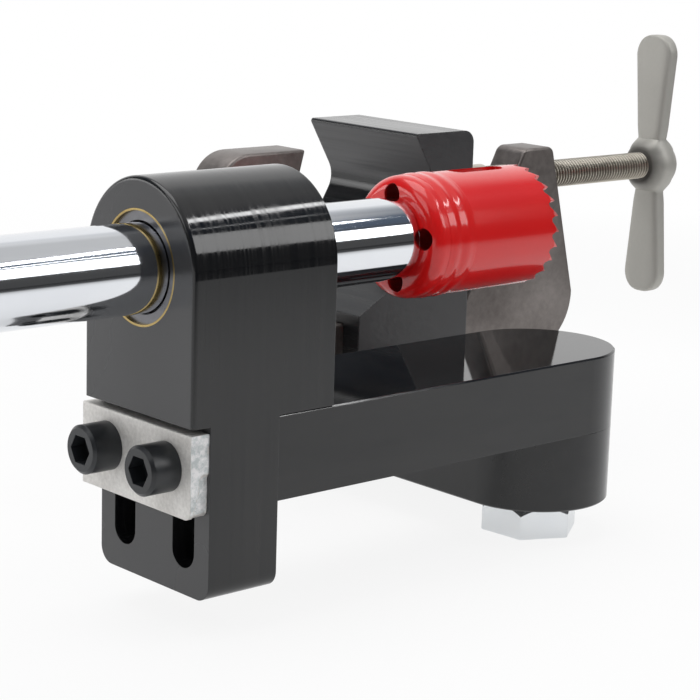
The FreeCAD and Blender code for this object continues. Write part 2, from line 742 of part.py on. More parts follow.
def make_saw_base():
    """Thick backing plate with a threaded hole and four drive pin holes."""
    outer = S.saw_base_diameter / 2
    inside = S.saw_diameter / 2 - S.saw_wall
    bore = S.arbor_diameter / 2 + S.tapped_gap
    lap = S.saw_base_thickness - S.saw_cup_overlap
    body = turned_body("hole_saw_base", [
        (0.0, bore),
        (0.0, outer),
        (lap, outer),
        (lap, inside),
        (S.saw_base_thickness, inside),
        (S.saw_base_thickness, bore),
    ], x=SAW_BACK, z=S.spindle_height)
    fillet(body, lambda p: near(p.x, 0.0) and near(math.hypot(p.y, p.z), outer), S.saw_base_round)
    fillet(body, lambda p: near(p.x, lap) and near(math.hypot(p.y, p.z), outer), S.saw_seam_round)
    hole = sketch_on(body, "YZ_Plane")
    across = S.drive_hole_circle / 2 * cosine(S.drive_hole_turn)
    below = S.drive_hole_circle / 2 * sine(S.drive_hole_turn)
    circle(hole, across, -below, S.drive_hole_diameter / 2)
    drilled = pocket(body, hole, S.saw_base_thickness, toward_normal=True)
    repeat_round(body, drilled, S.drive_hole_count)
    return keep(body)


def make_saw_cup():
    """Thin steel cup with a toothed rim and two chip slots."""
    outer = S.saw_diameter / 2
    inner = outer - S.saw_wall
    start = S.saw_base_thickness - S.saw_cup_overlap
    body = turned_body("hole_saw_cup", [
        (start, inner),
        (start, outer),
        (S.saw_length, outer),
        (S.saw_length, inner),
    ], x=SAW_BACK, z=S.spindle_height)
    fillet(body, lambda p: near(p.x, start) and near(math.hypot(p.y, p.z), outer), S.saw_seam_round)
    # one gullet: a steep tooth face on its far side, the back of the next tooth on its near side
    pitch = outer * (2 * math.pi) / S.tooth_count
    gullet = sketch_on(body, "XY_Plane")
    polygon(gullet, [
        (S.saw_length + SPARE, 0.0),
        (S.saw_length + SPARE, S.tooth_land - pitch),
        (S.saw_length, S.tooth_land - pitch),
        (S.saw_length - S.tooth_depth, -(pitch * S.gullet_back)),
        (S.saw_length - S.tooth_depth, -(pitch * S.gullet_floor)),
        (S.saw_length - S.tooth_depth / 2, pitch * S.tooth_hook),
    ])
    repeat_round(body, pocket(body, gullet, outer + SPARE, toward_normal=True), S.tooth_count)
    high = S.saw_length - S.chip_slot_inset - S.chip_slot_width / 2
    low = high - (S.chip_slot_length - S.chip_slot_width)
    slot = sketch_on(body, "XY_Plane", -(outer + SPARE))
    slot.AttachmentOffset.Rotation = FreeCAD.Rotation(V(0, 0, 1), -90)
    upright_slot(slot, 0.0, low, high, S.chip_slot_width / 2)
    pocket(body, slot, 2 * (outer + SPARE), toward_normal=True)
    return keep(body)


# ---------------------------------------------------------------- vee block and tube clamp

def make_vee_block():
    """Black block whose wide vee lies level with the spindle and opens towards the hook."""
    slope = (S.vee_root - S.vee_lip) / (S.vee_top - S.spindle_height)
    lower_lip = S.vee_root - (S.spindle_height - S.vee_shoulder_high) * slope
    body = new_body("vee_block")
    side = sketch_on(body, "XZ_Plane", -S.vee_near)
    polygon(side, [
        (-S.vee_front, LOWER_TOP),
        (S.vee_back, LOWER_TOP),
        (S.vee_back, S.vee_top),
        (S.vee_lip, S.vee_top),
        (S.vee_root, S.spindle_height),
        (lower_lip, S.vee_shoulder_high),
        (-S.vee_front, S.vee_shoulder_low),
    ])
    pad(body, side, S.vee_length, toward_normal=False)
    fillet(body, lambda p: near(p.x, S.vee_back) and near(p.z, S.vee_top), S.vee_top_round)
    fillet(body, lambda p: near(p.x, S.vee_root) and near(p.z, S.spindle_height), S.vee_root_round)
    fillet(body, lambda p: near(p.x, S.vee_lip) and near(p.z, S.vee_top), S.vee_lip_round)
    channel = sketch_on(body, "YZ_Plane", S.vee_back)
    wall_near = S.frame_near - S.frame_play
    wall_far = S.frame_near + S.frame_thickness + S.frame_play
    polygon(channel, [
        (wall_near, LOWER_TOP - SPARE),
        (wall_far, LOWER_TOP - SPARE),
        (wall_far, -S.vee_channel_top),
        (wall_near, -S.vee_channel_top),
    ])
    pocket(body, channel, S.vee_back + S.vee_front)
    tapped = sketch_on(body, "XY_Plane", LOWER_TOP)
    for x, y in vee_screw_places():
        circle(tapped, x, y, S.vee_screw_diameter / 2 + S.tapped_gap)
    reach = S.vee_screw_length - (S.lower_arm_thickness - S.vee_screw_head_height)
    pocket(body, tapped, reach + S.blind_hole_spare, toward_normal=True)
    return keep(body)


def make_vee_screws():
    members = []
    for index, (x, y) in enumerate(vee_screw_places()):
        members.append(cap_screw("vee_screw_%d" % (index + 1), x, y,
                                 LOWER_BOTTOM + S.vee_screw_head_height + S.frame_play,
                                 S.vee_screw_diameter, S.vee_screw_length - S.frame_play,
                                 S.vee_screw_head, S.vee_screw_head_height,
                                 S.vee_screw_socket, S.vee_screw_head_height / 2, True))
    return keep(group("vee_block_screws", members))


def make_clamp_frame():
    """C-shaped plate: its hook pulls the tube into the vee, its post carries the screw."""
    floor = LOWER_TOP + S.frame_play
    spine = -(S.vee_channel_top + S.frame_play)
    lean = tangent(S.hook_lean)
    jaw_foot = -(S.hook_tip + (S.hook_top - spine) * lean)
    body = new_body("clamp_frame")
    side = sketch_on(body, "XZ_Plane", -S.frame_near)
    polygon(side, [
        (-S.frame_front, floor),
        (S.frame_back, floor),
        (S.frame_back, spine),
        (S.post_inner + S.post_width, S.post_top),
        (S.post_inner, S.post_top),
        (S.post_foot, spine),
        (jaw_foot, spine),
        (-S.hook_tip, S.hook_top),
        (-S.frame_front, S.hook_top),
    ])
    pad(body, side, S.frame_thickness, toward_normal=False)
    fillet(body, lambda p: near(p.z, floor) and (near(p.x, -S.frame_front) or near(p.x, S.frame_back)),
           S.frame_corner_round)
    fillet(body, lambda p: near(p.x, -S.frame_front) and near(p.z, S.hook_top), S.hook_corner_round)
    fillet(body, lambda p: near(p.x, jaw_foot) and near(p.z, spine), S.throat_round)
    thread = sketch_on(body, "YZ_Plane", S.frame_back)
    circle(thread, FRAME_MIDDLE, S.spindle_height, S.clamp_screw_diameter / 2 + S.clamp_screw_play)
    pocket(body, thread, S.frame_back - S.post_foot)
    return keep(body)


def make_clamp_pad():
    """Swivel pad that stays against the vee block while the screw's nose turns in its neck."""
    hole = S.screw_nose_diameter / 2 + S.clamp_screw_play
    body = turned_body("clamp_pad", [
        (0.0, 0.0),
        (0.0, S.pad_diameter / 2),
        (S.pad_thickness - S.pad_edge, S.pad_diameter / 2),
        (S.pad_thickness, S.pad_diameter / 2 - S.pad_edge),
        (S.pad_thickness, S.pad_neck_diameter / 2),
        (S.pad_neck_end, S.pad_neck_diameter / 2),
        (S.pad_neck_end, hole),
        (S.pad_floor, hole),
        (S.pad_floor, 0.0),
    ], x=S.vee_back, y=FRAME_MIDDLE, z=S.spindle_height)
    return keep(body)


def make_clamp_screw():
    """Threaded rod from the swivel pad, through the post, into the wing handle."""
    radius = S.clamp_screw_diameter / 2
    thin = S.screw_nose_diameter / 2
    nose = S.vee_back + S.pad_floor + S.pad_end_gap
    shoulder = S.vee_back + S.pad_neck_end + S.pad_end_gap
    end = S.handle_reach + S.wing_thickness / 2
    body = turned_body("clamp_screw", [
        (nose, 0.0),
        (nose, thin - S.screw_nose_edge),
        (nose + S.screw_nose_edge, thin),
        (shoulder, thin),
        (shoulder, radius),
        (end, radius),
        (end, 0.0),
    ], y=FRAME_MIDDLE, z=S.spindle_height)
    return keep(body)


def make_wing_handle():
    """Forged handle: two flat tapered wings on a ball hub."""
    body = new_body("wing_handle")
    root = S.wing_root_width / 2
    tip = S.wing_tip_width / 2
    half = S.wing_span / 2
    outline = sketch_on(body, "YZ_Plane", -(S.wing_thickness / 2))
    polygon(outline, [(root, 0.0), (tip, half), (-tip, half), (-root, 0.0), (-tip, -half), (tip, -half)])
    pad(body, outline, S.wing_thickness)
    fillet(body, lambda p: near(abs(p.z), half) and near(abs(p.y), tip), tip * S.wing_tip_roundness)
    chamfer(body, lambda p: near(abs(p.x), S.wing_thickness / 2), S.wing_edge_bevel)
    hub = body.newObject("PartDesign::AdditiveSphere", "wing_hub")
    bind(hub, "Radius", S.hub_diameter / 2)
    doc.recompute()
    ball = number(S.hub_diameter) / 2
    waist = ball / 2
    fillet(body, lambda p: near(p.Length, ball) and abs(p.z) > waist, S.wing_hub_round)
    seat = sketch_on(body, "YZ_Plane", -S.hub_diameter)
    circle(seat, 0.0, 0.0, S.clamp_screw_diameter / 2 + S.tapped_gap)
    pocket(body, seat, S.hub_diameter + S.wing_thickness / 2 + S.pad_end_gap, toward_normal=True)
    recess = sketch_on(body, "YZ_Plane", -S.hub_diameter)
    circle(recess, 0.0, 0.0, S.hub_recess_diameter / 2)
    pocket(body, recess, S.hub_diameter - S.hub_recess_floor, toward_normal=True)
    place(body, S.handle_reach, FRAME_MIDDLE, S.spindle_height)
    return keep(body)


# ---------------------------------------------------------------- build, check and write

make_lower_arm()
make_vee_block()
make_vee_screws()
make_clamp_pad()
make_upper_arm()
make_pivot_bolt()
make_clamp_plate()
make_housing_screws()
make_spindle_housing()
make_bearing("drill_side", HOUSING_FRONT, -1)
make_bearing("saw_side", HOUSING_BACK, 1)
make_spindle()
make_saw_base()
make_saw_cup()
make_clamp_frame()
make_clamp_screw()
make_wing_handle()
doc.recompute()

for item in doc.Objects:
    if "Invalid" in item.State or "Error" in item.State:
        raise RuntimeError("%s did not compute: %s" % (item.Label, item.State))
os.makedirs("parts", exist_ok=True)
for item in PARTS:
    shape = item.Shape
    if shape.isNull() or not shape.isValid():
        raise RuntimeError("%s has no sound shape" % item.Label)
    shape.exportStep(os.path.join("parts", item.Label + ".step"))
    box = shape.BoundBox
    print("%-24s solids %2d volume %10.1f  x %7.1f %7.1f  y %7.1f %7.1f  z %7.1f %7.1f" % (
        item.Label, len(shape.Solids), shape.Volume, box.XMin, box.XMax, box.YMin, box.YMax,
        box.ZMin, box.ZMax))
print("pieces:", len(PARTS))
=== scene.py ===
# %% [markdown]
# # A tube notcher in black, chrome and red
# The packed model gives every piece its place, in metres. This script dresses it: each piece keeps the
# frame's sizes, and gets either a finish of its own or a finer mesh that stands for the plain solid.

# %% Load the frame
import math
import bmesh
import bpy
from mathutils import Matrix, Vector


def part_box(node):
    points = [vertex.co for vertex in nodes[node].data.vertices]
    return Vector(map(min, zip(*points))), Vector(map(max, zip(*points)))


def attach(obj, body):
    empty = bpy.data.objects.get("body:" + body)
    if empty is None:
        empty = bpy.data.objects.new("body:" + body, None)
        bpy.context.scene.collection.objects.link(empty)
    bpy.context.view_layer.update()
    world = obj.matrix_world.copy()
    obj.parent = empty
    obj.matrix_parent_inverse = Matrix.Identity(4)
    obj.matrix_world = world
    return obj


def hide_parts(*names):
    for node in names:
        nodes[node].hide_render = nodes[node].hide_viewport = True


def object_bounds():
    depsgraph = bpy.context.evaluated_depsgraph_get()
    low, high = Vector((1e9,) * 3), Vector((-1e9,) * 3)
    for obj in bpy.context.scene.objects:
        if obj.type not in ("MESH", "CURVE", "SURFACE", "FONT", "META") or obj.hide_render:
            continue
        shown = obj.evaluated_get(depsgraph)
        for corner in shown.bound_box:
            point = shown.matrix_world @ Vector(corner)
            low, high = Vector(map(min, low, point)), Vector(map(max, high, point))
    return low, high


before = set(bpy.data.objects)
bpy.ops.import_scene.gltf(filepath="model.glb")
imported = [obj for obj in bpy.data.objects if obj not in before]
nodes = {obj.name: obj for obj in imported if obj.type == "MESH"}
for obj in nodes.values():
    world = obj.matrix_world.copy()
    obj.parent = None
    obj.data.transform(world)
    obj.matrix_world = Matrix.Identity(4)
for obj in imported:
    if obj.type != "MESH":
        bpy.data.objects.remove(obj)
cad_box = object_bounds()

# %% [markdown]
# ## Shader sums
# A finish is a small sum of textures. One class wraps a node's output, so that a sum in Python makes the
# Math nodes; one method makes every other node. That keeps each finish as short as its description.

# %% A wrapped socket
class Wire:
    """The output of a node, which can be used in a sum."""

    def __init__(self, finish, socket):
        self.finish = finish
        self.socket = socket

    def sum(self, operation, first, second):
        return self.finish.node("Math", {"operation": operation}, {0: first, 1: second})

    def __add__(self, other):
        return self.sum("ADD", self, other)

    def __radd__(self, other):
        return self.sum("ADD", other, self)

    def __sub__(self, other):
        return self.sum("SUBTRACT", self, other)

    def __rsub__(self, other):
        return self.sum("SUBTRACT", other, self)

    def __mul__(self, other):
        return self.sum("MULTIPLY", self, other)

    def __rmul__(self, other):
        return self.sum("MULTIPLY", other, self)


print("a wire can be added, subtracted and multiplied")


# %% A material that makes its own nodes
class Finish:
    """A material, or the world, and its nodes."""

    def __init__(self, owner):
        owner.use_nodes = True
        self.owner = owner
        self.tree = owner.node_tree
        self.tree.nodes.clear()

    def node(self, kind, settings=None, inputs=None, output=0):
        """Makes one node: first its settings, then the values or links of its sockets."""
        made = self.tree.nodes.new("ShaderNode" + kind)
        for name, value in (settings or {}).items():
            if name == "stops":
                self.set_stops(made.color_ramp, value)
            else:
                setattr(made, name, value)
        for name, value in (inputs or {}).items():
            if isinstance(value, Wire):
                self.tree.links.new(value.socket, made.inputs[name])
            else:
                made.inputs[name].default_value = value
        return Wire(self, made.outputs[output]) if made.outputs else made

    def set_stops(self, ramp, stops):
        while len(ramp.elements) < len(stops):
            ramp.elements.new(1.0)
        for element, (place, shade) in zip(ramp.elements, stops):
            element.position = place
            element.color = shade

    def coordinates(self, scale=(1, 1, 1), turn=(0, 0, 0), centre=(0, 0, 0)):
        """Object coordinates about a centre, stretched along each axis."""
        place = self.node("TexCoord", output="Object")
        moved = self.node("VectorMath", {"operation": "SUBTRACT"}, {0: place, 1: centre})
        return self.node("Mapping", {}, {"Vector": moved, "Rotation": turn, "Scale": scale})

    def noise(self, scale, detail, rough, where):
        return self.node("TexNoise", {}, {"Scale": scale, "Detail": detail, "Roughness": rough,
                                          "Vector": where})

    def band(self, value, low, high):
        """Maps low..high of a value onto 0..1, and holds it there."""
        return self.node("MapRange", {}, {"Value": value, "From Min": low, "From Max": high})

    def blend(self, factor, first, second):
        """A colour between two colours."""
        return self.node("Mix", {"data_type": "RGBA"}, {"Factor": factor, "A": first, "B": second}, "Result")

    def bump(self, height, strength, distance, softened=0.0003):
        """Raises the surface by a height, on edges that are rounded off by a small radius."""
        rounded = self.node("Bevel", {"samples": 4}, {"Radius": softened})
        return self.node("Bump", {}, {"Height": height, "Strength": strength, "Distance": distance,
                                      "Normal": rounded})

    def along(self, vector, axis):
        """How far a vector reaches along an axis."""
        return self.node("VectorMath", {"operation": "DOT_PRODUCT"}, {0: vector, 1: axis}, "Value")

    def facing(self, axis):
        """1 on faces that look along an axis of the tool, 0 elsewhere."""
        return self.band(self.along(self.node("NewGeometry", output="Normal"), axis), 0.9, 0.97)

    def away(self, centre, spread=(1, 1, 1)):
        """The distance from a point; an axis with a spread of 0 is left out."""
        from_centre = self.coordinates(scale=spread, centre=centre)
        return self.node("VectorMath", {"operation": "LENGTH"}, {0: from_centre}, "Value")

    def surface(self, **sockets):
        inputs = {name.replace("_", " "): value for name, value in sockets.items()}
        shader = self.node("BsdfPrincipled", {}, inputs)
        self.node("OutputMaterial", {}, {"Surface": shader})
        return self.owner


def material(name):
    return Finish(bpy.data.materials.new(name))


def rgb(red, green, blue):
    return (red, green, blue, 1.0)


def grey(value):
    return rgb(value, value, value)


print("node makers:", [name for name in vars(Finish) if not name.startswith("_")])

# %% [markdown]
# ## The eye
# A long lens a little above the spindle flattens the tool, as a drawing does. The camera is a place, a
# heading and a slight roll; its axes are worked out from those angles and put in one matrix, which is
# steadier than aiming with a constraint.

# %% The camera
EYE = Vector((-0.5129, -0.4771, 0.1478))
HEADING, DIP, ROLL = 0.8369, 0.2141, 0.0311
LENS_MM, SENSOR_MM = 111.81, 36.0
NEAREST = 0.02

forward = Vector((math.cos(HEADING) * math.cos(DIP), math.sin(HEADING) * math.cos(DIP), -math.sin(DIP)))
level = Vector((math.sin(HEADING), -math.cos(HEADING), 0.0))
upward = level.cross(forward)
camera_right = math.cos(ROLL) * level + math.sin(ROLL) * upward
camera_up = math.cos(ROLL) * upward - math.sin(ROLL) * level
eye_data = bpy.data.cameras.new("eye")
eye_data.lens = LENS_MM
eye_data.sensor_width = SENSOR_MM
eye_data.sensor_fit = "HORIZONTAL"
eye_data.clip_start = NEAREST
camera = bpy.data.objects.new("eye", eye_data)
bpy.context.scene.collection.objects.link(camera)
camera_axes = Matrix((camera_right, camera_up, -forward)).transposed()
camera.matrix_world = Matrix.Translation(EYE) @ camera_axes.to_4x4()
bpy.context.scene.camera = camera
bpy.context.scene.view_settings.view_transform = "Standard"
print("lens", LENS_MM, "mm, eye", [round(value, 3) for value in EYE])

# %% [markdown]
# ## The studio
# Bright metal shows the room and little else, so the room is designed first. A white sheet lies under the
# tool; its paper is painted white near it and dark far away, but for a bright stretch on its left, a painted
# falloff of light. A pale backdrop stands behind.
# Narrow lamps give the hard streaks on every round edge, and a wide lamp beside the tool gives the broad
# one. The gaps between them stay dark, which is what makes plating look like plating. The camera itself
# sees the room as plain white.

# %% The sheet under the tool
SHEET_HALF_WIDTH = 4.0
sheet_mesh = bmesh.new()
bmesh.ops.create_grid(sheet_mesh, x_segments=1, y_segments=1, size=SHEET_HALF_WIDTH)
bmesh.ops.translate(sheet_mesh, verts=sheet_mesh.verts, vec=(0, 0, cad_box[0][2]))


def link(name, mesh):
    """Turns a bmesh into an object at the origin."""
    data = bpy.data.meshes.new(name)
    mesh.to_mesh(data)
    mesh.free()
    made = bpy.data.objects.new(name, data)
    bpy.context.scene.collection.objects.link(made)
    return made


white_sheet = link("white_sheet", sheet_mesh)
print("sheet at", round(cad_box[0][2], 4), "m")

# %% The paper of the sheet
SHEET_WHITE, SHEET_FAR_GREY = 0.9, 0.06
LIT_RADIUS, DARK_RADIUS = 0.30, 0.75
LEFT_OF_TOOL, LEFT_START, LEFT_FULL = (-0.67, 0.74, 0.0), 0.05, 0.25
GLOW_TO_EYE, GLOW_IN_GLOSS = 0.88, 0.68

paper = material("white_paper")
# painted falloff of light: the paper's colour goes from white near the tool to dark grey far away, except on
# its left
distant = paper.band(paper.away((0, 0, 0)), LIT_RADIUS, DARK_RADIUS)
to_the_left = paper.along(paper.coordinates(), LEFT_OF_TOOL)
falling = distant * (1 - paper.band(to_the_left, LEFT_START, LEFT_FULL))
paper_colour = paper.blend(falling, grey(SHEET_WHITE), grey(SHEET_FAR_GREY))
paper_shade = paper.node("BsdfDiffuse", {}, {"Color": paper_colour})
paper_glow = paper.node("Emission", {}, {"Color": grey(1.0), "Strength": 1.0})
seen_by_eye = paper.node("LightPath", output="Is Camera Ray")
seen_in_gloss = paper.node("LightPath", output="Is Glossy Ray")
# the paper also glows: nearly white to the eye, and in reflections near the tool
glow_share = (seen_by_eye * (GLOW_TO_EYE + (1 - GLOW_TO_EYE) * distant)
              + seen_in_gloss * GLOW_IN_GLOSS * (1 - falling))
paper_mix = paper.node("MixShader", {}, {0: glow_share, 1: paper_shade, 2: paper_glow})
paper.node("OutputMaterial", {}, {"Surface": paper_mix})
white_sheet.data.materials.append(paper.owner)
print("sheet lit to", LIT_RADIUS, "m")

# %% The room around it
ROOM_LOW, ROOM_GAP, ROOM_CEILING = grey(0.07), rgb(0.085, 0.11, 0.15), grey(0.62)
STOREYS = [(0.0, ROOM_LOW), (0.50, ROOM_LOW), (0.62, ROOM_GAP), (0.71, ROOM_GAP), (0.77, ROOM_CEILING),
           (1.0, ROOM_CEILING)]
BEHIND_TOOL, BACKDROP_EDGE, BACKDROP_FULL = (0.67, 0.74, 0.0), 0.50, 0.74

room = bpy.data.worlds.new("room")
bpy.context.scene.world = room
sky = Finish(room)
look = sky.node("TexCoord", output="Generated")
look_height = sky.node("SeparateXYZ", {}, {0: look}, "Z")
storeys = sky.node("ValToRGB", {"stops": STOREYS}, {"Fac": look_height})
behind = sky.band(sky.along(look, BEHIND_TOOL), BACKDROP_EDGE, BACKDROP_FULL)
backdrop = sky.blend(behind, storeys, grey(1.0))
tinted_room = sky.node("Background", {}, {"Color": backdrop, "Strength": 1.0})
white_room = sky.node("Background", {}, {"Color": grey(1.0), "Strength": 1.0})
eye_ray = sky.node("LightPath", output="Is Camera Ray")
sky_mix = sky.node("MixShader", {}, {0: eye_ray, 1: tinted_room, 2: white_room})
sky.node("OutputWorld", {}, {"Surface": sky_mix})
print("room heights:", [place for place, _ in STOREYS])

# %% The lamps
AIM = Vector((-0.06, 0.0, 0.03))
LAMP_REACH = 1.6


def soft_lamp(name, azimuth, elevation, size, radiance, with_spindle=False):
    """A rectangle lamp facing the tool. Size is its width and height in metres, and radiance is how bright
    it looks. One set with the spindle is turned so that its streak runs straight along the bar."""
    data = bpy.data.lights.new(name, "AREA")
    data.shape = "RECTANGLE"
    data.size, data.size_y = size
    data.energy = radiance * math.pi * size[0] * size[1]
    flat = math.cos(math.radians(elevation))
    toward = Vector((flat * math.cos(math.radians(azimuth)), flat * math.sin(math.radians(azimuth)),
                     math.sin(math.radians(elevation))))
    lamp = bpy.data.objects.new(name, data)
    lamp.location = AIM + LAMP_REACH * toward
    if with_spindle:
        along = (Vector((1, 0, 0)) - toward.x * toward).normalized()
        lamp.rotation_euler = Matrix((along, toward.cross(along), toward)).transposed().to_euler()
    else:
        lamp.rotation_euler = (-toward).to_track_quat("-Z", "Y").to_euler()
    bpy.context.scene.collection.objects.link(lamp)


soft_lamp("strip_lamp", -38, 48.5, (0.66, 0.085), 14)
soft_lamp("hairline_lamp", -50, 41, (0.62, 0.014), 7)
soft_lamp("side_lamp", -55, 28, (0.69, 0.54), 3.9, with_spindle=True)
soft_lamp("overhead_lamp", 120, 76, (1.2, 1.2), 2.4)
soft_lamp("front_lamp", 175, 35, (0.9, 0.7), 2.0)
soft_lamp("left_lamp", 132, 10, (0.9, 0.5), 2.9)

# %% [markdown]
# ## Black anodised aluminium
# Anodising is a thin glassy skin over machined metal: the colour is almost black and what shows is a
# reflection, drawn out along the tool marks. A very stretched noise gives those marks. It moves the
# roughness and a faint bump, so a streak of light breaks up into threads as it does on a milled face.

# %% How anodising is made
OXIDE_DEEP, OXIDE_THIN = rgb(0.0045, 0.0052, 0.0068), rgb(0.019, 0.019, 0.0195)
OXIDE_PAINTED_LIGHT = rgb(0.070, 0.070, 0.073)
OXIDE_IOR = 1.52
FINE_MARKS, COARSE_MARKS, CLOUDS = 1100, 330, 28
MARK_HEIGHT = 0.0004


def anodised(name, grain, polish, lapped=None, dull_lit_faces=(), dull_lit_amount=0.8, broken=0.0003, relief=0.02):
    """Black oxide on machined metal. Grain stretches the tool marks and polish is the least roughness. A face
    along lapped is nearly a mirror. Faces along the axes in the list after it are rougher, and their colour
    is painted a lighter grey, which is painted light; the amount after the list says how much. Broken is the
    radius of the edges, and relief is how deep the marks look."""
    made = material(name)
    marks = made.noise(FINE_MARKS, 3.0, 0.6, made.coordinates(scale=grain))
    coarse = made.noise(COARSE_MARKS, 3.0, 0.6, made.coordinates(scale=grain))
    cloud = made.noise(CLOUDS, 5.0, 0.6, made.coordinates())
    uneven = cloud * 0.3 + coarse * 0.35 + marks * 0.35
    shade = made.blend(made.band(uneven, 0.36, 0.64), OXIDE_DEEP, OXIDE_THIN)
    scratched = 0.16 * made.band(marks, 0.40, 0.70) + 0.03 * made.band(coarse, 0.4, 0.7)
    rough = polish + scratched + 0.01 * cloud
    if dull_lit_faces:
        dull_lit = made.facing(dull_lit_faces[0])
        for axis in dull_lit_faces[1:]:
            dull_lit = dull_lit + made.facing(axis)
        rough = rough + 0.2 * dull_lit_amount * dull_lit
        # painted light: faces along these axes get a lighter grey colour; the added roughness above is real
        shade = made.blend(dull_lit * dull_lit_amount, shade, OXIDE_PAINTED_LIGHT)
    if lapped is not None:
        rough = rough * (1 - 0.75 * made.facing(lapped))
    return made.surface(Base_Color=shade, Roughness=rough, IOR=OXIDE_IOR,
                        Normal=made.bump(marks * 0.6 + coarse * 0.4, relief, MARK_HEIGHT, broken))


print("darkest oxide:", OXIDE_DEEP[:3])

# %% The three anodised finishes
FLANK = (-0.86, 0, -0.51)
# the housing's front and the block's side and flank are painted a lighter grey, as painted light
black_housing = anodised("black_anodised_housing", (1.0, 0.03, 0.02), 0.03, dull_lit_faces=[(-1, 0, 0)],
                         dull_lit_amount=0.6, relief=0.05)
black_arm = anodised("black_anodised_arm", (0.05, 1.0, 0.4), 0.06, lapped=(0, 0, 1))
black_block = anodised("black_anodised_block", (1.0, 0.02, 1.0), 0.12, dull_lit_faces=[(0, -1, 0), FLANK],
                       broken=0.0008)
print("anodised:", black_housing.name, black_arm.name, black_block.name)

# %% [markdown]
# ## Plated bar, steels and brass
# Hard chrome is a plain metal shader with hardly any roughness: its look is all in the lamps. The steels
# differ in how rough they are and in what their roughness follows: grinding lines, forging scale, zinc's
# soft bloom, or the dark mottle of plate as it comes from the torch.

# %% Chrome
CHROME_CLEAN, CHROME_FILMED = rgb(0.80, 0.82, 0.85), rgb(0.72, 0.74, 0.78)
chrome = material("plated_bar")
rings = chrome.noise(900, 2.0, 0.5, chrome.coordinates(scale=(1.0, 0.05, 0.05)))
smear = chrome.noise(22, 5.0, 0.65, chrome.coordinates(scale=(0.35, 1.0, 1.0)))
film = chrome.band(smear, 0.45, 0.75)
plated_bar = chrome.surface(Base_Color=chrome.blend(film, CHROME_CLEAN, CHROME_FILMED), Metallic=1.0,
                            Roughness=0.045 + 0.03 * rings + 0.06 * film,
                            Normal=chrome.bump(smear, 0.03, 0.001))
print("plated:", plated_bar.name)

# %% How a steel is made
TORN_DULL, TORN_BRIGHT = rgb(0.62, 0.66, 0.66), rgb(1.0, 0.99, 0.99)
THREAD_ROOT_DARK = rgb(0.10, 0.088, 0.072)
GRAIN_HEIGHT = 0.0003


def steel(name, light, dark, rough, scale=300, metal=1.0, relief=0.12, torn=None, thread=None):
    """A metal between two colours, mottled by one noise and grained by another. Faces along torn are bright,
    broken metal. Thread is (centre, root, crest) of a thread, whose colour is darker towards the root."""
    made = material(name)
    grains = made.noise(scale, 4.0, 0.6, made.coordinates())
    mottle = made.noise(45, 6.0, 0.62, made.coordinates())
    colour = made.blend(made.band(mottle * 0.6 + grains * 0.4, 0.35, 0.65), dark, light)
    if torn is not None:
        flakes = made.band(made.noise(420, 5.0, 0.7, made.coordinates()), 0.40, 0.60)
        colour = made.blend(made.facing(torn), colour, made.blend(flakes, TORN_DULL, TORN_BRIGHT))
    if thread is not None:
        centre, root, crest = thread
        # the colour is darker towards the thread's root
        from_axis = made.away(centre, (0, 1, 1))
        undarkened = made.band(from_axis, root + 0.15 * (crest - root), crest - 0.1 * (crest - root))
        colour = made.blend(undarkened, THREAD_ROOT_DARK, colour)
    return made.surface(Base_Color=colour, Metallic=metal, Roughness=rough * (0.75 + 0.5 * grains),
                        Normal=made.bump(grains, relief, GRAIN_HEIGHT))


print("grains", GRAIN_HEIGHT, "m high")

# %% The steels and the brass
brass = steel("brass_ring", rgb(0.50, 0.37, 0.15), rgb(0.36, 0.26, 0.10), 0.3)
bearing_steel = steel("bearing_steel", rgb(0.20, 0.20, 0.21), rgb(0.13, 0.13, 0.14), 0.3)
zinc = steel("zinc_steel", rgb(0.95, 0.97, 0.98), rgb(0.88, 0.91, 0.94), 0.24, scale=700, metal=0.85,
             relief=0.03)
oxide = steel("black_oxide", rgb(0.024, 0.027, 0.031), rgb(0.013, 0.014, 0.016), 0.36, metal=0.0,
              relief=0.1)
sawn_bar = steel("bare_steel", rgb(0.90, 0.88, 0.85), rgb(0.60, 0.58, 0.55), 0.5, scale=900, metal=0.3,
                 relief=0.35, torn=(0, -1, 0))
torch_plate = steel("frame_steel", rgb(0.26, 0.235, 0.222), rgb(0.15, 0.132, 0.124), 0.42, scale=380,
                    metal=0.75, relief=0.25)
turned_steel = steel("turned_steel", rgb(0.66, 0.61, 0.53), rgb(0.46, 0.42, 0.36), 0.32, metal=0.9)
METALS = (brass, bearing_steel, zinc, oxide, sawn_bar, torch_plate, turned_steel)
print("metals:", [metal.name for metal in METALS])

# %% The steel of the thread
MM = 0.001
screw_low, screw_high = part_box("clamp_screw")
SCREW_Y, SCREW_Z = (screw_low.y + screw_high.y) / 2, (screw_low.z + screw_high.z) / 2
THREAD_PITCH = 1.5 * MM
CREST = (screw_high.y - screw_low.y) / 2
ROOT = CREST - 0.52 * THREAD_PITCH
rolled_thread = steel("screw_steel", rgb(0.72, 0.67, 0.58), rgb(0.50, 0.46, 0.39), 0.30, metal=0.9,
                      thread=((screw_low.x, SCREW_Y, SCREW_Z), ROOT, CREST))
print("thread between", round(ROOT / MM, 2), "and", round(CREST / MM, 2), "mm radius")

# %% [markdown]
# ## Red paint
# The saw is sprayed with a thick glossy enamel. Paint is two layers here: a rough red below and a clear
# coat above, and a wide shallow bump makes the coat ripple, so its highlights wander at the shoulders.
# The walls of the four drive holes are painted black as painted shade, and the teeth are worn to bare metal.
# Distances along and about the spindle's axis say where that is, so no picture has to be wrapped round the
# saw.

